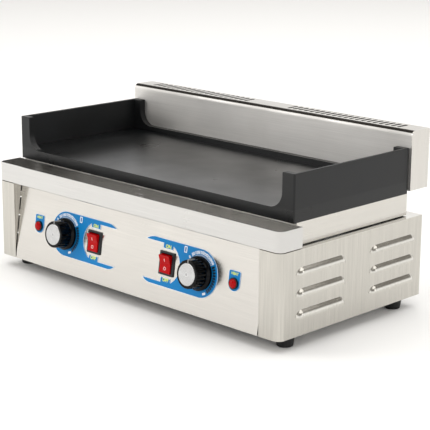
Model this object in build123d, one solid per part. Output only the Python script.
"""Countertop electric flat top griddle, one STEP file per piece, in millimetres.

Frame: +X to the right, +Y to the back, +Z up. The origin is on the worktop, below the middle
of the whole appliance. While the pieces are made, Y is measured from the housing's front
plane; export_all() moves them all by the same distance.
"""
from build123d import *
from math import atan, cos, degrees, sin
import os

# ---- housing --------------------------------------------------------------------------
WIDTH = 550.0                # outside of the two side panels
DEPTH = 279.0                # front plane to the rear faces of the side panels
SIDE_HEIGHT = 110.0          # side panels, from their bottom edge to their top face
SHEET = 1.0                  # stainless sheet
FOOT_HEIGHT = 17.0
CORNER_R = 10.0              # rolled front corners of the posts and of the trough
BEND_R = 2.0                 # outside radius of an ordinary press-brake bend
POST_WIDTH = 34.4            # front face of each side panel, beside the control panel
TOP_FLANGE = 26.0            # inward flange on top of each side panel
BOTTOM_FLANGE = 34.0
REAR_FLANGE = 14.0
SHEET_GAP = 0.3              # between sheets that slide past each other in assembly

# ---- control panel --------------------------------------------------------------------
PANEL_SLOPE = 0.14           # set back per unit of height
PANEL_SIDE_GAP = 1.5         # panel edge to post
PANEL_FOLD = 12.0            # folded edges behind the panel
CONTROL_HEIGHT = 55.6        # up the panel, centre line of all controls
KNOB_X = 132.5
SWITCH_X = 71.9
PILOT_X = 192.4

RAIL_LAP = 17.0              # panel's top fold, in front of the rail
RAIL_WIDTH = 24.0

# ---- grease trough --------------------------------------------------------------------
TROUGH_HEIGHT = 27.3
TROUGH_DEPTH = 39.6

# ---- plate and its frame --------------------------------------------------------------
PLATE_INSET = 10.5           # side of the housing to the side of the plate
PLATE_OVERHANG = 4.9         # of the plate over the trough
PLATE_REAR = 19.3            # rear of the plate to the back of the housing
FRAME_HEIGHT = 29.9          # top of the side panels to the underside of the plate
FRAME_LIFT = 1.5             # shadow gap under the frame's skirt
FRAME_SHEET = 1.2
FRAME_FLANGE = 12.0
PLATE_THICK = 14.7           # underside of the rim to the cooking surface
PLATE_RECESS = 5.0           # the underside is recessed for the elements
RECESS_RIM = 14.0
PAN_HEIGHT = 61.0            # underside to the top of the walls
WALL_THICK = 5.0
END_WIDTH = 19.6             # upstand that wraps round each front and rear corner
END_THICK = 9.0
COVE_R = 21.0
REAR_LIP = 8.0               # low lip across the back of the cooking surface
CAST_R = 1.2                 # broken edges of the casting

# ---- splash-back ----------------------------------------------------------------------
SPLASH_OVERHANG = 3.1        # past each side of the plate
SPLASH_DEPTH = 37.6
SPLASH_HEIGHT = 79.7
SPLASH_LIFT = 3.6            # above the underside of the plate
SPLASH_GAP = 0.5             # behind the plate
SPLASH_R = 7.0
SPLASH_FLANGE = 9.0
VENT_COUNT = 20              # in each of the two groups
VENT_PITCH = 10.2
VENT_LENGTH = 21.0
VENT_WIDTH = 5.0
VENT_START = 42.0            # nearest slot to the middle
VENT_BACK = 6.5              # slot end to the rear face

BRACKET_X = 180.0
BRACKET_WIDTH = 32.0
BRACKET_THICK = 2.0
BRACKET_RISE = 40.0          # above the bottom of the splash-back

# ---- side louvres ---------------------------------------------------------------------
LOUVRE_LENGTH = 96.0
LOUVRE_HEIGHT = 12.0
LOUVRE_DEPTH = 5.5
LOUVRE_COLUMNS = (75.8, 217.7)
LOUVRE_ROWS = 3
LOUVRE_PITCH = 27.0
LOUVRE_FIRST = 23.5

# ---- knobs and thermostats ------------------------------------------------------------
SHAFT_R = 3.0
SHAFT_FIT = 0.05             # running clearance of the shaft in its bush
KNOB_GAP = 1.2               # skirt to label
SKIRT_R = 22.3
SKIRT_THICK = 3.4
GRIP_R = 19.3
GRIP_FRONT_R = 18.3
KNOB_LENGTH = 22.4
FLUTE_COUNT = 24
FLUTE_R = 1.3
FLUTE_CUT = 0.8              # depth at the front of the grip
CAP_R = 14.5
CAP_THICK = 1.3
CAP_SEAT = 0.6               # depth that the cap is let into the grip
KNOB_WALL = 2.0
BUSH_R = 5.0
BUSH_LENGTH = 5.0
HOLE_FIT = 0.2               # round a body in its panel hole
THERMOSTAT = (42.0, 34.0, 27.0)
THERMOSTAT_SCREW_SPACING = 28.0

# ---- rocker switches ------------------------------------------------------------------
BEZEL_WIDTH = 27.4
BEZEL_HEIGHT = 31.6
BEZEL_THICK = 2.0
SWITCH_BODY = (22.0, 28.4, 24.0)
ROCKER_WIDTH = 19.2
ROCKER_LENGTH = 24.0
ROCKER_GAP = 0.35            # each side, in the housing
ROCKER_END_GAP = 1.3         # at each end, taken up as the rocker tips
ROCKER_TILT = 10.0           # each way from level
ROCKER_PIVOT = 0.6           # pivot height above the panel
ROCKER_CROWN = 3.2           # valley in the middle, above the pivot
ROCKER_RISE = 5.6            # ends, above the pivot
TRUNNION_R = 1.2
TRUNNION_LENGTH = 0.9

# ---- pilot lamps and labels -----------------------------------------------------------
LENS_R = 5.9
LENS_DOME = 3.4
LENS_RIM = 0.4
LAMP_FLANGE_R = 7.4
LAMP_FLANGE = 2.4
LAMP_BODY_R = 5.0
LAMP_BODY_LENGTH = 24.0
LABEL_THICK = 0.4
LABEL_R = 31.6               # round the knob
HORN_TIP_X = 30.5            # nearest the middle of the panel
HORN_WIDTH = 6.2
PILOT_LABEL_R = 10.2
PILOT_LABEL_RISE = 16.5      # lamp centre to the label's top edge

# ---- feet, gland, small hardware ------------------------------------------------------
FOOT_INSET = 21.3            # side of the housing to the foot's centre
FOOT_FRONT = 35.0
FOOT_REAR = 29.3             # foot centre to the back of the housing
FOOT_TOP_R = 12.4
FOOT_BOTTOM_R = 10.6
THREAD_R = 1.5               # small panel screws
SCREW_R = 2.4                # foot screws
SCREW_FIT = 0.3
SCREW_HEAD_R = 4.4
SCREW_HEAD = 2.4
NUT = 4.0
GLAND_X = 205.0
GLAND_Z = 34.0               # above the housing's bottom edge
GLAND_R = 10.0
GLAND_BORE_R = 4.5
GLAND_REACH = 15.0
STUD_X = 150.0

# ---- heating --------------------------------------------------------------------------
ELEMENT_R = 3.5
ELEMENT_LEGS = 4
ELEMENT_PITCH = 56.0
ELEMENT_INSET = 34.0         # inner face of the plate's rim to the element's bends
ELEMENT_FIRST = 36.0         # nearest leg to the middle
ELEMENT_DROP = 46.0
CLAMP_THICK = 3.0
CLAMP_WIDTH = 22.0
CLAMP_INSET = 62.0           # from the front and the rear of the plate
BLANKET_THICK = 10.0
SHIELD_INSET = 15.0          # outline of the plate's frame to the heat shield
BLANKET_DROP = 5.0           # clamps to the blanket
PASS_HOLE = 26.0             # clearance cut round each element end

# ---- worked out -----------------------------------------------------------------------
HALF = WIDTH / 2
Z_BOTTOM = FOOT_HEIGHT
Z_TOP = Z_BOTTOM + SIDE_HEIGHT
POST_X = HALF - POST_WIDTH
TILT = atan(PANEL_SLOPE)
PANEL = Plane(origin=(0, 0, Z_BOTTOM), x_dir=(1, 0, 0), z_dir=(0, -cos(TILT), sin(TILT)))
PANEL_HALF = POST_X - PANEL_SIDE_GAP
PANEL_TOP_Y = PANEL_SLOPE * SIDE_HEIGHT
PLATE_HALF = HALF - PLATE_INSET
PLATE_FRONT = TROUGH_DEPTH - PLATE_OVERHANG
PLATE_BACK = DEPTH - PLATE_REAR
SPLASH_WIDTH = 2 * (PLATE_HALF + SPLASH_OVERHANG)
FRAME_FRONT = TROUGH_DEPTH + SHEET_GAP
Z_PLATE = Z_TOP + FRAME_HEIGHT
Z_COOK = Z_PLATE + PLATE_THICK
Z_WALLS = Z_PLATE + PAN_HEIGHT
Z_ROOF = Z_PLATE + PLATE_RECESS          # ceiling of the recess under the plate
SPLASH_FRONT = PLATE_BACK + SPLASH_GAP
SPLASH_BACK = SPLASH_FRONT + SPLASH_DEPTH
Z_SPLASH = Z_PLATE + SPLASH_LIFT
KNOB_BASE = LABEL_THICK + KNOB_GAP
KNOB_FACE = KNOB_BASE + KNOB_LENGTH
CAP_FACE = KNOB_FACE - CAP_SEAT + CAP_THICK
REAR_SKIN = DEPTH - SHEET                # outer face of the rear panel
FLOOR = Z_BOTTOM + SHEET                 # underside of the base pan
Z_CLAMP = Z_ROOF - 2 * ELEMENT_R - CLAMP_THICK
Z_BLANKET = Z_CLAMP - BLANKET_DROP - BLANKET_THICK
KNOB_REACH = cos(TILT) * CAP_FACE - sin(TILT) * (CONTROL_HEIGHT - GRIP_FRONT_R)
MIDDLE_Y = (SPLASH_BACK - KNOB_REACH) / 2
BRACKET_SCREWS = (Z_TOP + 16, Z_SPLASH + BRACKET_RISE - 12)
FOOT_X = HALF - FOOT_INSET
FOOT_PLACES = [(sx * FOOT_X, y) for sx in (-1, 1) for y in (FOOT_FRONT, DEPTH - FOOT_REAR)]


# ---- small helpers --------------------------------------------------------------------
def block(x0, x1, y0, y1, z0, z1):
    """A box between two corners."""
    return Pos((x0 + x1) / 2, (y0 + y1) / 2, (z0 + z1) / 2) * Box(x1 - x0, y1 - y0, z1 - z0)


def rod(radius, z0, z1):
    """A cylinder on the Z axis from z0 to z1."""
    return Pos(0, 0, (z0 + z1) / 2) * Cylinder(radius, z1 - z0)


def hex_nut(radius, z0, z1, bore=0.0):
    """A hexagonal prism on the Z axis, with a bore if one is given."""
    nut = Pos(0, 0, z0) * extrude(RegularPolygon(radius, 6), z1 - z0)
    return nut - rod(bore, z0 - 1, z1 + 1) if bore else nut


def on_panel(shape, u=0.0, v=0.0, n=0.0):
    """Place a shape made about Z on the control panel: u right, v up the panel, n outwards."""
    return PANEL.location * Pos(u, v, n) * shape


def backwards(shape, x, y, z):
    """Place a shape made about Z so that its Z points to the back of the appliance."""
    return Pos(x, y, z) * Rot(-90, 0, 0) * shape


def flipped(shape):
    """The same shape on the other side of the middle plane."""
    return mirror(shape, about=Plane.YZ)


def turned(points):
    """A solid of revolution about Z from (radius, height) points."""
    outline = Plane.XZ * make_face(Polyline(*points, close=True))
    return revolve(outline, Axis.Z)


# ---- housing --------------------------------------------------------------------------
def rounded_plan(x0, x1, y0, y1, radius, both):
    """A rectangle in plan with its front right corner rounded, or both front corners."""
    face = make_face(Polyline((x0, y0), (x1, y0), (x1, y1), (x0, y1), close=True))
    front = [v for v in face.vertices() if abs(v.Y - y0) < 1e-6]
    corners = front if both else [v for v in front if abs(v.X - x1) < 1e-6]
    return fillet(corners, radius)


def louvre(depth, height, length):
    """A pressed louvre that swells smoothly out of the wall and ends in a lip, with round ends.

    It is made at the origin, bulging to +X, with its lip along Y at Z = 0.
    """
    swell = Spline((depth, 0), (0.62 * depth, 0.6 * height), (0, height),
                   tangents=((0, 1), (-0.25, 1)))
    section = Plane.XZ * make_face(swell + Line((0, height), (0, 0)) + Line((0, 0), (depth, 0)))
    span = length - 2 * height
    bar = Pos(0, span / 2, 0) * extrude(section, span)
    end = revolve(section, Axis.X) & block(0, depth, -height, height, 0, height)
    return bar + Pos(0, span / 2, 0) * end + Pos(0, -span / 2, 0) * end


def side_panel():
    """Right side panel: wall, rolled front corner, post, tapered return and flanges."""
    outside = extrude(rounded_plan(POST_X, HALF, 0, DEPTH, CORNER_R, False), SIDE_HEIGHT)
    inside = extrude(rounded_plan(POST_X + SHEET, HALF - SHEET, SHEET, DEPTH - SHEET,
                                  CORNER_R - SHEET, False), SIDE_HEIGHT - 2 * SHEET)
    outside = Pos(0, 0, Z_BOTTOM) * outside
    shell = outside - Pos(0, 0, Z_BOTTOM + SHEET) * inside
    wall_x = HALF - SHEET
    post_back = PANEL_TOP_Y - SHEET
    # Open the shell up again, so that only flanges are left of its inner side and its ends.
    shell -= block(POST_X - 1, wall_x - REAR_FLANGE, post_back, DEPTH + 1,
                   Z_BOTTOM + SHEET, Z_TOP - SHEET)
    shell -= block(POST_X - 1, HALF - TOP_FLANGE, post_back, DEPTH + 1, Z_TOP - 2 * SHEET, Z_TOP + 1)
    shell -= block(POST_X - 1, HALF - BOTTOM_FLANGE, SHEET, DEPTH + 1, Z_BOTTOM - 1, FLOOR + SHEET)
    # The return behind the post tapers with the slope of the control panel.
    taper = make_face(Polyline((-SHEET, Z_BOTTOM), (PANEL_TOP_Y - SHEET, Z_TOP),
                               (DEPTH + 1, Z_TOP), (DEPTH + 1, Z_BOTTOM), close=True))
    cut = Pos(POST_X - 1, 0, 0) * extrude(Plane.YZ * taper, 1 + SHEET)
    shell -= cut - block(POST_X - 2, HALF, -1, SHEET, Z_BOTTOM - 1, Z_TOP + 1)
    bends = shell.edges().filter_by(Axis.Z).filter_by_position(Axis.X, POST_X - 0.01, POST_X + 0.01)
    bends = bends.filter_by_position(Axis.Y, -0.01, 0.01)
    shell = fillet(bends, SHEET * 0.9)
    for column in LOUVRE_COLUMNS:
        for row in range(LOUVRE_ROWS):
            place = Pos(wall_x, column, Z_BOTTOM + LOUVRE_FIRST + row * LOUVRE_PITCH)
            outer = louvre(LOUVRE_DEPTH + SHEET, LOUVRE_HEIGHT, LOUVRE_LENGTH)
            inner = louvre(LOUVRE_DEPTH, LOUVRE_HEIGHT - SHEET, LOUVRE_LENGTH - 2 * SHEET)
            shell = shell + place * outer - place * inner
    for x, y in FOOT_PLACES:
        if x > 0:
            shell -= Pos(x, y, 0) * rod(SCREW_R + SCREW_FIT, Z_BOTTOM - 1, FLOOR + SHEET)
    for x, z in rear_screw_places():
        if x > 0:
            shell -= backwards(rod(THREAD_R + SCREW_FIT, -4, 4), x, DEPTH, z)
    return shell


def base_pan():
    """Floor with upturned edges and two groups of air slots."""
    half = HALF - SHEET - SHEET_GAP
    front = CORNER_R
    back = REAR_SKIN - SHEET - SHEET_GAP
    upturn = 12.0
    tray = block(-half, half, front, back, FLOOR, FLOOR + upturn)
    tray -= block(-half + SHEET, half - SHEET, front + SHEET, back - SHEET,
                  FLOOR + SHEET, FLOOR + upturn + 1)
    for side in (-1, 1):
        for i in range(8):
            slot = extrude(SlotOverall(44, 5, 90), 4 * SHEET)
            tray -= Pos(side * (60 + 18 * i), (front + back) / 2, FLOOR - SHEET) * slot
    for x, y in FOOT_PLACES:
        tray -= Pos(x, y, 0) * rod(SCREW_R + SCREW_FIT, FLOOR - 1, FLOOR + upturn)
    return tray


def rear_panel():
    """Flat back between the side panels' rear flanges, with air slots and service holes."""
    half = HALF - SHEET - SHEET_GAP
    top = Z_TOP - SHEET - SHEET_GAP
    sheet = block(-half, half, REAR_SKIN - SHEET, REAR_SKIN, FLOOR + SHEET_GAP, top)
    sheet += block(-POST_X, POST_X, REAR_SKIN - 16, REAR_SKIN, top - SHEET, top)
    for side in (-1, 1):
        for i in range(9):
            slot = extrude(SlotOverall(40, 5, 90), 4 * SHEET)
            slot = backwards(slot, side * (45 + 12 * i), REAR_SKIN - 3 * SHEET, Z_BOTTOM + 72)
            sheet -= slot
    for x, radius in ((GLAND_X, GLAND_R - 3 + HOLE_FIT), (STUD_X, 3 + HOLE_FIT)):
        sheet -= backwards(rod(radius, -4, 4), x, REAR_SKIN, Z_BOTTOM + GLAND_Z)
    for x, z in rear_screw_places():
        sheet -= backwards(rod(THREAD_R + SCREW_FIT, -4, 4), x, REAR_SKIN, z)
    return sheet


def rear_screw_places():
    """Three screws up each side of the rear panel, through the side panels' rear flanges."""
    return [(side * (HALF - SHEET - REAR_FLANGE / 2), Z_BOTTOM + z)
            for side in (-1, 1) for z in (20, 55, 90)]


def control_panel():
    """Sloping panel with folded edges and the openings for knobs, switches and lamps."""
    height = SIDE_HEIGHT / cos(TILT)
    skin = block(-PANEL_HALF, PANEL_HALF, 0, height, -SHEET, 0)
    fold = block(PANEL_HALF - SHEET, PANEL_HALF, PANEL_FOLD + 4, height - 8, -PANEL_FOLD, 0)
    panel = on_panel(skin + fold + flipped(fold))
    inside = block(-WIDTH, WIDTH, -SHEET, DEPTH, Z_BOTTOM, Z_TOP)
    panel &= inside
    panel += block(-PANEL_HALF, PANEL_HALF, SHEET / 2, 16, Z_BOTTOM, FLOOR)
    panel += block(-PANEL_HALF, PANEL_HALF, PANEL_TOP_Y, PANEL_TOP_Y + RAIL_LAP,
                   Z_TOP - SHEET, Z_TOP)
    for side in (-1, 1):
        panel -= on_panel(rod(BUSH_R + HOLE_FIT, -5, 5), side * KNOB_X, CONTROL_HEIGHT)
        for dx in (-1, 1):
            x = side * KNOB_X + dx * THERMOSTAT_SCREW_SPACING / 2
            panel -= on_panel(rod(2.0, -5, 5), x, CONTROL_HEIGHT)
        opening = Box(SWITCH_BODY[0] + 2 * HOLE_FIT, SWITCH_BODY[1] + 2 * HOLE_FIT, 10)
        panel -= on_panel(opening, side * SWITCH_X, CONTROL_HEIGHT)
        panel -= on_panel(rod(LAMP_BODY_R + HOLE_FIT, -5, 5), side * PILOT_X, CONTROL_HEIGHT)
    return panel


def front_rail():
    """Channel across the housing that carries the front of the plate's frame."""
    half = HALF - TOP_FLANGE - SHEET_GAP
    front = PANEL_TOP_Y + RAIL_LAP + SHEET_GAP
    back = front + RAIL_WIDTH
    rail = block(-half, half, front, back, Z_TOP - 18, Z_TOP)
    return rail - block(-half - 1, half + 1, front + SHEET, back - SHEET, Z_TOP - 19, Z_TOP - SHEET)


def grease_trough():
    """Open trough across the front, with the same rolled corners as the posts."""
    outside = extrude(rounded_plan(-HALF, HALF, 0, TROUGH_DEPTH, CORNER_R, True), TROUGH_HEIGHT)
    inside = extrude(rounded_plan(-HALF + SHEET, HALF - SHEET, SHEET, TROUGH_DEPTH - SHEET,
                                  CORNER_R - SHEET, True), TROUGH_HEIGHT)
    outside = fillet(outside.faces().sort_by(Axis.Z)[0].edges(), BEND_R)
    inside = fillet(inside.faces().sort_by(Axis.Z)[0].edges(), BEND_R - SHEET)
    return Pos(0, 0, Z_TOP) * (outside - Pos(0, 0, SHEET) * inside)


# ---- plate and its frame --------------------------------------------------------------
def plate_frame():
    """Skirt round the underside of the plate, with a flange on top and four short lugs."""
    low, high = Z_TOP + FRAME_LIFT, Z_PLATE
    hollow = FRAME_SHEET
    skirt = block(-PLATE_HALF, PLATE_HALF, FRAME_FRONT, PLATE_BACK, low, high)
    skirt = fillet(skirt.edges().filter_by(Axis.Z), BEND_R)
    skirt -= block(-PLATE_HALF + hollow, PLATE_HALF - hollow, FRAME_FRONT + hollow,
                   PLATE_BACK - hollow, low - 1, high - hollow)
    skirt -= block(-PLATE_HALF + FRAME_FLANGE, PLATE_HALF - FRAME_FLANGE,
                   FRAME_FRONT + FRAME_FLANGE, PLATE_BACK - FRAME_FLANGE, low, high + 1)
    for sx in (-1, 1):
        for y in (FRAME_FRONT + 20, PLATE_BACK - 40):
            for reach, bottom in ((hollow, low + 2), (2 * BEND_R + hollow, Z_TOP)):
                x = sorted((sx * (PLATE_HALF - reach), sx * (PLATE_HALF - FRAME_FLANGE)))
                skirt += block(*x, y, y + 20, bottom, low + 5)
        hole = rod(THREAD_R + SCREW_FIT, -4, 4)
        skirt -= backwards(hole, sx * BRACKET_X, PLATE_BACK, BRACKET_SCREWS[0])
    return skirt


def griddle_plate():
    """One casting: cooking surface, side walls, wrapped corners and a low rear lip."""
    half = PLATE_HALF
    body = block(-half, half, PLATE_FRONT, PLATE_BACK, Z_PLATE, Z_WALLS)
    inner = half - WALL_THICK
    body -= block(-inner, inner, PLATE_FRONT + END_THICK, PLATE_BACK - END_THICK, Z_COOK, Z_WALLS + 1)
    mouth_half = half - END_WIDTH
    for start, floor in ((PLATE_FRONT, Z_COOK), (PLATE_BACK - END_THICK, Z_COOK + REAR_LIP)):
        tall = Z_WALLS - floor + 2 * COVE_R
        mouth = RectangleRounded(2 * mouth_half, tall, COVE_R)
        mouth = Pos(0, start + END_THICK + 1, floor + tall / 2) * (Plane.XZ * mouth)
        body -= extrude(mouth, END_THICK + 2)
    rim = RECESS_RIM
    body -= block(-half + rim, half - rim, PLATE_FRONT + rim, PLATE_BACK - rim, Z_PLATE - 1, Z_ROOF)
    corners = body.edges().filter_by(Axis.Z).filter_by_position(Axis.X, half - 0.01, half + 0.01)
    corners += body.edges().filter_by(Axis.Z).filter_by_position(Axis.X, -half - 0.01, -half + 0.01)
    body = fillet(corners, 2 * CAST_R)
    top = body.edges().filter_by_position(Axis.Z, Z_WALLS - 0.01, Z_WALLS + 0.01)
    return fillet(top, CAST_R)


# ---- splash-back ----------------------------------------------------------------------
def splash_outline(inset):
    """Side outline of the splash-back, in Y and Z, drawn in by the inset."""
    y0, y1 = SPLASH_FRONT + inset, SPLASH_BACK - inset
    z0, z1 = Z_SPLASH + inset, Z_SPLASH + SPLASH_HEIGHT - inset
    face = make_face(Polyline((y0, z0), (y1, z0), (y1, z1), (y0, z1), close=True))
    top = [v for v in face.vertices() if abs(v.Y - z1) < 1e-6]
    face = fillet([v for v in top if abs(v.X - y0) < 1e-6], SPLASH_R - inset)
    back = [v for v in face.vertices() if abs(v.Y - z1) < 1e-6 and abs(v.X - y1) < 1e-6]
    return fillet(back, BEND_R - inset / 2)


def splash_shell():
    """Folded front, top and back, with two groups of air slots in the top."""
    width = SPLASH_WIDTH - 2 * SHEET
    start = Pos(-width / 2, 0, 0)
    shell = start * extrude(Plane.YZ * splash_outline(0), width)
    shell -= start * extrude(Plane.YZ * splash_outline(SHEET), width)
    shell -= block(-width, width, SPLASH_FRONT + SPLASH_FLANGE, SPLASH_BACK - SPLASH_FLANGE,
                   Z_SPLASH - 1, Z_SPLASH + 2 * SHEET)
    for side in (-1, 1):
        notch = BRACKET_WIDTH / 2 + SHEET_GAP
        x = side * BRACKET_X
        shell -= block(x - notch, x + notch, SPLASH_FRONT + SHEET, SPLASH_BACK - 2 * SHEET,
                       Z_SPLASH - 1, Z_SPLASH + SHEET + 0.1)
    middle = SPLASH_BACK - VENT_BACK - VENT_LENGTH / 2
    for side in (-1, 1):
        for i in range(VENT_COUNT):
            slot = extrude(SlotOverall(VENT_LENGTH, VENT_WIDTH, 90), 4 * SHEET)
            x = side * (VENT_START + VENT_PITCH * i)
            shell -= Pos(x, middle, Z_SPLASH + SPLASH_HEIGHT - 3 * SHEET) * slot
    return shell


def splash_end():
    """Right end of the splash-back, with a folded tab behind each long edge."""
    x0 = SPLASH_WIDTH / 2 - SHEET
    end = Pos(x0, 0, 0) * extrude(Plane.YZ * splash_outline(0), SHEET)
    y = SPLASH_FRONT + SHEET
    tab = block(x0 - 10, x0, y, y + SHEET, Z_SPLASH + 16, Z_SPLASH + SPLASH_HEIGHT - 16)
    return end + tab + Pos(0, SPLASH_DEPTH - 3 * SHEET, 0) * tab


def splash_bracket():
    """Strap that ties the splash-back to the rear of the plate's frame."""
    y = SPLASH_FRONT + SHEET
    half = BRACKET_WIDTH / 2
    strap = block(-half, half, y, y + BRACKET_THICK, Z_TOP + 6, Z_SPLASH + BRACKET_RISE)
    strap += block(-half, half, PLATE_BACK, y, Z_TOP + 6, Z_SPLASH - SHEET)
    for z in BRACKET_SCREWS:
        strap -= backwards(rod(THREAD_R + SCREW_FIT, -4, 4), 0, y, z)
    return strap


# ---- controls -------------------------------------------------------------------------
def knob_grip():
    """Moulded grip and skirt, hollow behind, with a hub for the shaft."""
    base, face = KNOB_BASE, KNOB_FACE
    shell = turned([(0, base), (SKIRT_R, base), (SKIRT_R, base + SKIRT_THICK),
                    (GRIP_R + 0.9, base + SKIRT_THICK + 1.4), (GRIP_R, base + SKIRT_THICK + 2.8),
                    (GRIP_FRONT_R, face - 0.8), (GRIP_FRONT_R - 0.8, face), (0, face)])
    shell -= rod(GRIP_FRONT_R - KNOB_WALL, base - 1, face - CAP_SEAT - 2 * KNOB_WALL)
    shell += rod(SHAFT_R + KNOB_WALL, base + KNOB_WALL, face - KNOB_WALL)
    shell -= rod(SHAFT_R, base - 1, face - 3 * KNOB_WALL)
    shell -= rod(CAP_R, face - CAP_SEAT, face + 1)
    flute = rod(FLUTE_R, base + SKIRT_THICK + 3, face + 1)
    for place in PolarLocations(GRIP_FRONT_R + FLUTE_R - FLUTE_CUT, FLUTE_COUNT):
        shell -= place * flute
    return shell - knob_pointer()


def knob_cap():
    """Turned metal disc let into the front of the grip."""
    low = KNOB_FACE - CAP_SEAT
    bevel = 0.5
    return turned([(0, low), (CAP_R, low), (CAP_R, CAP_FACE - bevel), (CAP_R - bevel, CAP_FACE),
                   (0, CAP_FACE)])


def knob_pointer():
    """White bar let into the grip from its front edge to the skirt, straight above the shaft."""
    low = KNOB_FACE - KNOB_LENGTH / 2
    return block(-0.9, 0.9, CAP_R + 0.6, GRIP_R + 0.2, low, KNOB_FACE + 0.1)


def thermostat_shaft():
    """Steel shaft from inside the thermostat into the knob's hub."""
    return rod(SHAFT_R, -SHEET - 14, KNOB_FACE - 3 * KNOB_WALL)


def thermostat_body():
    """Capillary thermostat: case, mounting plate and threaded bush, bored for the shaft."""
    wide, high, deep = THERMOSTAT
    case = Pos(0, 0, -SHEET - 2 - deep / 2) * fillet(Box(wide, high, deep).edges(), 1.5)
    plate = Pos(0, 0, -SHEET - 1) * Box(wide, 16, 2)
    bush = rod(BUSH_R, -SHEET - 4, KNOB_BASE - 0.4)
    body = case + plate + bush
    body -= rod(SHAFT_R + SHAFT_FIT, -SHEET - 14, KNOB_BASE + 1)
    for dx in (-1, 1):
        body -= Pos(dx * THERMOSTAT_SCREW_SPACING / 2, 0) * rod(THREAD_R, -SHEET - 9, 1)
    for dx in (-13, 0, 13):
        body += Pos(dx, 9, -SHEET - 2 - deep - 4) * Box(6.3, 0.8, 8)
    return body


def thermostat_screw():
    """Low head screw through the panel into the thermostat's plate."""
    return rod(THREAD_R, -SHEET - 8, 0) + rod(2.9, 0, 1.2)


def thermostat_bulb():
    """Sensing bulb under the plate with the first stretch of its capillary tube."""
    bulb = Rot(-90, 0, 0) * rod(2.4, -38, 38)
    tail = Pos(0, -38, 0) * (Rot(90, 0, 0) * rod(0.8, 0, 14))
    return bulb + tail


def switch_housing():
    """Snap-in switch body with its bezel, open in front for the rocker."""
    wide, high, deep = SWITCH_BODY
    bezel = extrude(RectangleRounded(BEZEL_WIDTH, BEZEL_HEIGHT, 1.2), BEZEL_THICK)
    bezel = chamfer(bezel.faces().sort_by(Axis.Z)[-1].edges(), 0.6)
    body = bezel + Pos(0, 0, -deep / 2) * Box(wide, high, deep)
    well_w = ROCKER_WIDTH + 2 * ROCKER_GAP
    well_h = ROCKER_LENGTH + 2 * ROCKER_END_GAP
    body -= Pos(0, 0, BEZEL_THICK - 7) * Box(well_w, well_h, 14)
    hole = Rot(0, 90, 0) * rod(TRUNNION_R + SHAFT_FIT, -wide / 2 - 1, wide / 2 + 1)
    return body - Pos(0, 0, ROCKER_PIVOT) * hole


def switch_terminals():
    """Four blade terminals on the back of one switch."""
    back = -SWITCH_BODY[2]
    return [Pos(x, y, back - 4) * Box(0.8, 6.3, 8) for x in (-6, 6) for y in (-8, 8)]


def rocker():
    """Rocker with its trunnions, tipped to OFF: upper end out, lower end in."""
    half = ROCKER_LENGTH / 2
    outline = [(-half, ROCKER_RISE), (0, ROCKER_CROWN), (half, ROCKER_RISE), (half - 0.4, -2.4),
               (half - 4, -5.4), (4 - half, -5.4), (0.4 - half, -2.4)]
    face = make_face(Polyline(*outline, close=True))
    bar = Pos(-ROCKER_WIDTH / 2, 0, 0) * extrude(Plane.YZ * face, ROCKER_WIDTH)
    ends = bar.edges().filter_by(Axis.X).filter_by_position(Axis.Z, ROCKER_RISE - 0.1, ROCKER_RISE + 0.1)
    bar = fillet(ends, 0.8)
    reach = ROCKER_WIDTH / 2 + TRUNNION_LENGTH
    bar += Rot(0, 90, 0) * rod(TRUNNION_R, -reach, reach)
    return Pos(0, 0, ROCKER_PIVOT) * Rot(ROCKER_TILT, 0, 0) * bar


def pilot_body():
    """Lamp holder behind the panel, with its nut and two terminals."""
    body = rod(LAMP_BODY_R, -SHEET - LAMP_BODY_LENGTH, 0)
    body += rod(LAMP_FLANGE_R, LABEL_THICK, LABEL_THICK + LAMP_FLANGE) + rod(LAMP_BODY_R, -1, 1)
    body += hex_nut(8, -SHEET - 4, -SHEET)
    for x in (-2.5, 2.5):
        body += Pos(x, 0, -SHEET - LAMP_BODY_LENGTH - 3) * Box(0.8, 4.0, 6)
    return body


def pilot_lens():
    """Domed red lens."""
    low = LABEL_THICK + LAMP_FLANGE
    ball_r = (LENS_R ** 2 + LENS_DOME ** 2) / (2 * LENS_DOME)
    ball = Pos(0, 0, low + LENS_RIM + LENS_DOME - ball_r) * Sphere(ball_r)
    dome = rod(LENS_R, low, low + LENS_RIM + LENS_DOME) & ball
    return dome + rod(LENS_R, low, low + LENS_RIM)


def pilot_label():
    """Small label round a pilot lamp, round at the bottom."""
    rise = PILOT_LABEL_RISE
    face = Circle(PILOT_LABEL_R) + Pos(0, rise / 2) * Rectangle(2 * PILOT_LABEL_R, rise)
    top = [v for v in face.vertices() if abs(v.Y - rise) < 1e-6]
    face = fillet(top, 3.0) - Circle(LAMP_BODY_R + HOLE_FIT)
    return extrude(face, LABEL_THICK)


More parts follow.
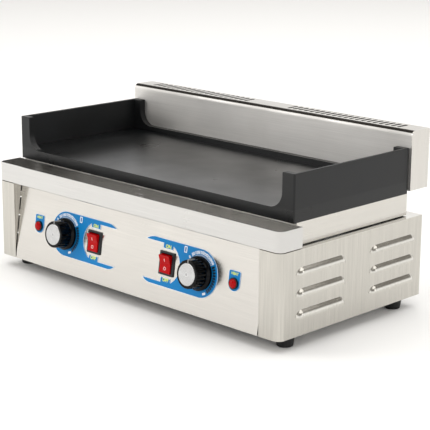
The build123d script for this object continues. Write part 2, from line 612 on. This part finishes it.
def control_label():
    """Right control label: round behind the knob, with two horns that reach past the switch."""
    top, low, tip = LABEL_R, -LABEL_R, HORN_TIP_X
    inner = LABEL_R - HORN_WIDTH
    tab0, tab1, tab_y = SWITCH_X - 9.6, SWITCH_X + 8.8, inner - 6.4
    waist = SWITCH_X + 23.0
    arc_x, arc_y = SWITCH_X + 9.6, inner - 2.0
    outline = (Line((KNOB_X, top), (tip + 17, top))
               + ThreePointArc((tip + 17, top), (tip + 7, top - 1.6), (tip - 1, inner + 0.6))
               + Line((tip - 1, inner + 0.6), (tip + 1, inner)) + Line((tip + 1, inner), (tab0, inner))
               + Line((tab0, inner), (tab0, tab_y)) + Line((tab0, tab_y), (tab1, tab_y))
               + Line((tab1, tab_y), (arc_x, arc_y))
               + ThreePointArc((arc_x, arc_y), (waist, 0), (arc_x, -arc_y))
               + Line((arc_x, -arc_y), (tab1, -tab_y)) + Line((tab1, -tab_y), (tab0, -tab_y))
               + Line((tab0, -tab_y), (tab0, -inner)) + Line((tab0, -inner), (tip - 3, -inner))
               + ThreePointArc((tip - 3, -inner), (tip + 4, low + 1.6), (tip + 14, low))
               + Line((tip + 14, low), (KNOB_X, low))
               + ThreePointArc((KNOB_X, low), (KNOB_X + LABEL_R, 0), (KNOB_X, top)))
    face = make_face(outline)
    face -= Pos(KNOB_X, 0) * Circle(BUSH_R + 2 * HOLE_FIT)
    for dx in (-1, 1):
        face -= Pos(KNOB_X + dx * THERMOSTAT_SCREW_SPACING / 2, 0) * Circle(3.2)
    return extrude(face, LABEL_THICK)


# ---- feet and small hardware ----------------------------------------------------------
def foot():
    """Moulded rubber foot with a counterbore for its screw."""
    body = turned([(0, 0), (FOOT_BOTTOM_R - 1.2, 0), (FOOT_BOTTOM_R, 1.2),
                   (FOOT_TOP_R, Z_BOTTOM - 3), (FOOT_TOP_R, Z_BOTTOM), (0, Z_BOTTOM)])
    body -= rod(SCREW_HEAD_R + 1, -1, 5)
    return body - rod(SCREW_R, 0, Z_BOTTOM + 1)


def foot_screw():
    """Screw up through a foot and the two sheets above it, and its nut."""
    top = FLOOR + SHEET
    screw = rod(SCREW_HEAD_R, 5 - SCREW_HEAD, 5) + rod(SCREW_R, 5, top + NUT + 2)
    return [screw, hex_nut(SCREW_HEAD_R, top, top + NUT, SCREW_R)]


def rear_screw():
    """Pan head screw through the rear flange of a side panel into the rear panel."""
    return rod(THREAD_R, -9, 0) + turned([(0, 0), (3.2, 0), (2.9, 1.4), (1.6, 2.0), (0, 2.0)])


def bracket_screw(length):
    """Screw through a strap. The upper ones stop at the back of the splash-back's front sheet."""
    return rod(THREAD_R, -length, 0) + rod(2 * THREAD_R, 0, 1.8)


def cable_gland():
    """Nylon gland: body through the rear panel, inner nut and clamping dome."""
    reach = GLAND_REACH
    body = turned([(0, -12), (GLAND_R - 3, -12), (GLAND_R - 3, 0), (GLAND_R, 0), (GLAND_R, 5),
                   (GLAND_R - 0.8, 5.4), (GLAND_R - 0.8, reach - 4), (GLAND_R - 3, reach),
                   (0, reach)])
    body += hex_nut(GLAND_R + 1, 0, 5)
    return body - rod(GLAND_BORE_R, -13, reach + 1)


def gland_nut():
    """Flat nut inside the rear panel."""
    return hex_nut(GLAND_R + 1.5, -SHEET - 5, -SHEET, GLAND_R - 3)


def earth_stud():
    """Earth screw through the rear panel with a nut on each side."""
    stud = rod(3.0, -12, 11)
    return [stud, hex_nut(5.8, 0, 4.6, 3.0), hex_nut(5.8, -SHEET - 4.6, -SHEET, 3.0)]


def terminal_block():
    """Three-way ceramic block on the floor."""
    block_y = DEPTH - 52
    body = fillet(Box(46, 22, 18).edges().filter_by(Axis.Z), 2)
    body = Pos(GLAND_X - 20, block_y, FLOOR + SHEET + 9) * body
    for x in (-14, 0, 14):
        way = Rot(90, 0, 0) * rod(2.4, -12, 12)
        body -= Pos(GLAND_X - 20 + x, block_y, FLOOR + SHEET + 8) * way
        body -= Pos(GLAND_X - 20 + x, block_y, FLOOR + SHEET + 14) * rod(2.6, -6, 6)
    return body


# ---- heating --------------------------------------------------------------------------
def element_legs():
    """X places of the straight legs of the right-hand element."""
    return [ELEMENT_FIRST + ELEMENT_PITCH * i for i in range(ELEMENT_LEGS)]


def heating_element():
    """Right tubular element: straight legs joined by half-turns, ends turned down."""
    front = PLATE_FRONT + RECESS_RIM + ELEMENT_INSET
    back = PLATE_BACK - RECESS_RIM - ELEMENT_INSET
    z = Z_ROOF - ELEMENT_R
    turn = ELEMENT_PITCH / 2
    legs = element_legs()
    points = [(legs[0], back, z - ELEMENT_DROP)]
    for i, x in enumerate(legs):
        ends = [(x, back, z), (x, front, z)] if i % 2 == 0 else [(x, front, z), (x, back, z)]
        points += ends
    points.append((legs[-1], back, z - ELEMENT_DROP))
    radii = [ELEMENT_R * 3] + [turn - 0.5] * (2 * ELEMENT_LEGS - 2) + [ELEMENT_R * 3]
    path = FilletPolyline(*points, radius=radii)
    start = Plane(origin=points[0], z_dir=(0, 0, 1))
    return sweep(start * Circle(ELEMENT_R), path=path)


def element_clamp(y):
    """Flat bar under the legs of the right-hand element."""
    legs = element_legs()
    return block(legs[0] - 14, legs[-1] + 14, y, y + CLAMP_WIDTH, Z_CLAMP, Z_CLAMP + CLAMP_THICK)


def element_passes():
    """Clear holes round the turned-down ends of both elements."""
    back = PLATE_BACK - RECESS_RIM - ELEMENT_INSET
    legs = element_legs()
    low, high = Z_BLANKET - 20, Z_CLAMP
    half = PASS_HOLE / 2
    return [block(s * x - half, s * x + half, back - half, back + half, low, high)
            for s in (-1, 1) for x in (legs[0], legs[-1])]


def insulation_blanket():
    """Mineral wool slab under the elements."""
    inset = SHIELD_INSET + SHEET
    slab = block(-PLATE_HALF + inset, PLATE_HALF - inset, FRAME_FRONT + inset, PLATE_BACK - inset,
                 Z_BLANKET, Z_BLANKET + BLANKET_THICK)
    for hole in element_passes():
        slab -= hole
    return slab


def heat_shield():
    """Tray that holds the blanket, hung inside the frame's skirt."""
    x, y0, y1 = PLATE_HALF - SHIELD_INSET, FRAME_FRONT + SHIELD_INSET, PLATE_BACK - SHIELD_INSET
    low, high = Z_BLANKET - SHEET, Z_BLANKET + BLANKET_THICK
    tray = block(-x, x, y0, y1, low, high)
    tray -= block(-x + SHEET, x - SHEET, y0 + SHEET, y1 - SHEET, Z_BLANKET, high + 1)
    for hole in element_passes():
        tray -= hole
    return tray


# ---- assembly -------------------------------------------------------------------------
def make_pieces():
    """Every piece by node name: a solid, or a list of solids that share one node."""
    right = side_panel()
    label, grip, cap = control_label(), knob_grip(), knob_cap()
    pieces = {
        "base_pan": base_pan(), "side_panel_right": right, "side_panel_left": flipped(right),
        "rear_panel": rear_panel(), "control_panel": control_panel(), "front_rail": front_rail(),
        "grease_trough": grease_trough(), "plate_frame": plate_frame(),
        "griddle_plate": griddle_plate(), "splash_shell": splash_shell(),
        "splash_end_right": splash_end(), "splash_end_left": flipped(splash_end()),
        "splash_brackets": [Pos(s * BRACKET_X, 0, 0) * splash_bracket() for s in (-1, 1)],
        "insulation_blanket": insulation_blanket(), "heat_shield": heat_shield(),
        "cable_gland": backwards(cable_gland(), GLAND_X, REAR_SKIN, Z_BOTTOM + GLAND_Z),
        "gland_nut": backwards(gland_nut(), GLAND_X, REAR_SKIN, Z_BOTTOM + GLAND_Z),
        "terminal_block": terminal_block(),
        "earth_stud": [backwards(s, STUD_X, REAR_SKIN, Z_BOTTOM + GLAND_Z) for s in earth_stud()],
        "rear_screws": [backwards(rear_screw(), x, DEPTH, z) for x, z in rear_screw_places()],
    }
    for side, name in ((-1, "left"), (1, "right")):
        knob, switch, pilot = side * KNOB_X, side * SWITCH_X, side * PILOT_X
        at = CONTROL_HEIGHT
        element = heating_element()
        rows = (PLATE_FRONT + CLAMP_INSET, PLATE_BACK - CLAMP_INSET - CLAMP_WIDTH)
        clamps = [element_clamp(y) for y in rows]
        if side < 0:
            element, clamps = flipped(element), [flipped(c) for c in clamps]
        pieces["heating_element_" + name] = element
        pieces["element_clamps_" + name] = clamps
        bulb_x = side * (ELEMENT_FIRST + 1.5 * ELEMENT_PITCH)
        bulb_y = (PLATE_FRONT + PLATE_BACK) / 2
        pieces["thermostat_bulb_" + name] = Pos(bulb_x, bulb_y, Z_ROOF - 2.4) * thermostat_bulb()
        own = label if side > 0 else flipped(label)
        pieces["control_label_" + name] = on_panel(own, 0, at)
        pieces["knob_grip_" + name] = on_panel(grip, knob, at)
        pieces["knob_cap_" + name] = on_panel(cap, knob, at)
        pieces["knob_pointer_" + name] = on_panel(knob_pointer(), knob, at)
        pieces["thermostat_shaft_" + name] = on_panel(thermostat_shaft(), knob, at)
        pieces["thermostat_body_" + name] = on_panel(thermostat_body(), knob, at)
        pieces["thermostat_screws_" + name] = [
            on_panel(thermostat_screw(), knob + dx * THERMOSTAT_SCREW_SPACING / 2, at)
            for dx in (-1, 1)]
        pieces["switch_housing_" + name] = on_panel(switch_housing(), switch, at)
        pieces["switch_terminals_" + name] = [on_panel(t, switch, at) for t in switch_terminals()]
        pieces["rocker_" + name] = on_panel(rocker(), switch, at)
        pieces["pilot_body_" + name] = on_panel(pilot_body(), pilot, at)
        pieces["pilot_lens_" + name] = on_panel(pilot_lens(), pilot, at)
        pieces["pilot_label_" + name] = on_panel(pilot_label(), pilot, at)
    screws = []
    for (x, y), name in zip(FOOT_PLACES, ("front_left", "rear_left", "front_right", "rear_right")):
        pieces["foot_" + name] = Pos(x, y, 0) * foot()
        screws += [Pos(x, y, 0) * s for s in foot_screw()]
    pieces["foot_screws"] = screws
    behind = SPLASH_FRONT + SHEET + BRACKET_THICK
    pieces["bracket_screws"] = [
        backwards(bracket_screw(length), s * BRACKET_X, behind, z)
        for s in (-1, 1) for z, length in zip(BRACKET_SCREWS, (8.0, BRACKET_THICK))]
    return pieces


def export_all():
    """Move every piece so that the origin is below the middle, and write one file each."""
    os.makedirs("parts", exist_ok=True)
    for name, piece in make_pieces().items():
        solids = piece if isinstance(piece, list) else [piece]
        moved = [Pos(0, -MIDDLE_Y, 0) * s for s in solids]
        shape = moved[0] if len(moved) == 1 else Compound(children=moved)
        export_step(shape, os.path.join("parts", name + ".step"))


export_all()
print("front plane at Y", round(-MIDDLE_Y, 3), "panel leans back", round(degrees(TILT), 3), "degrees")
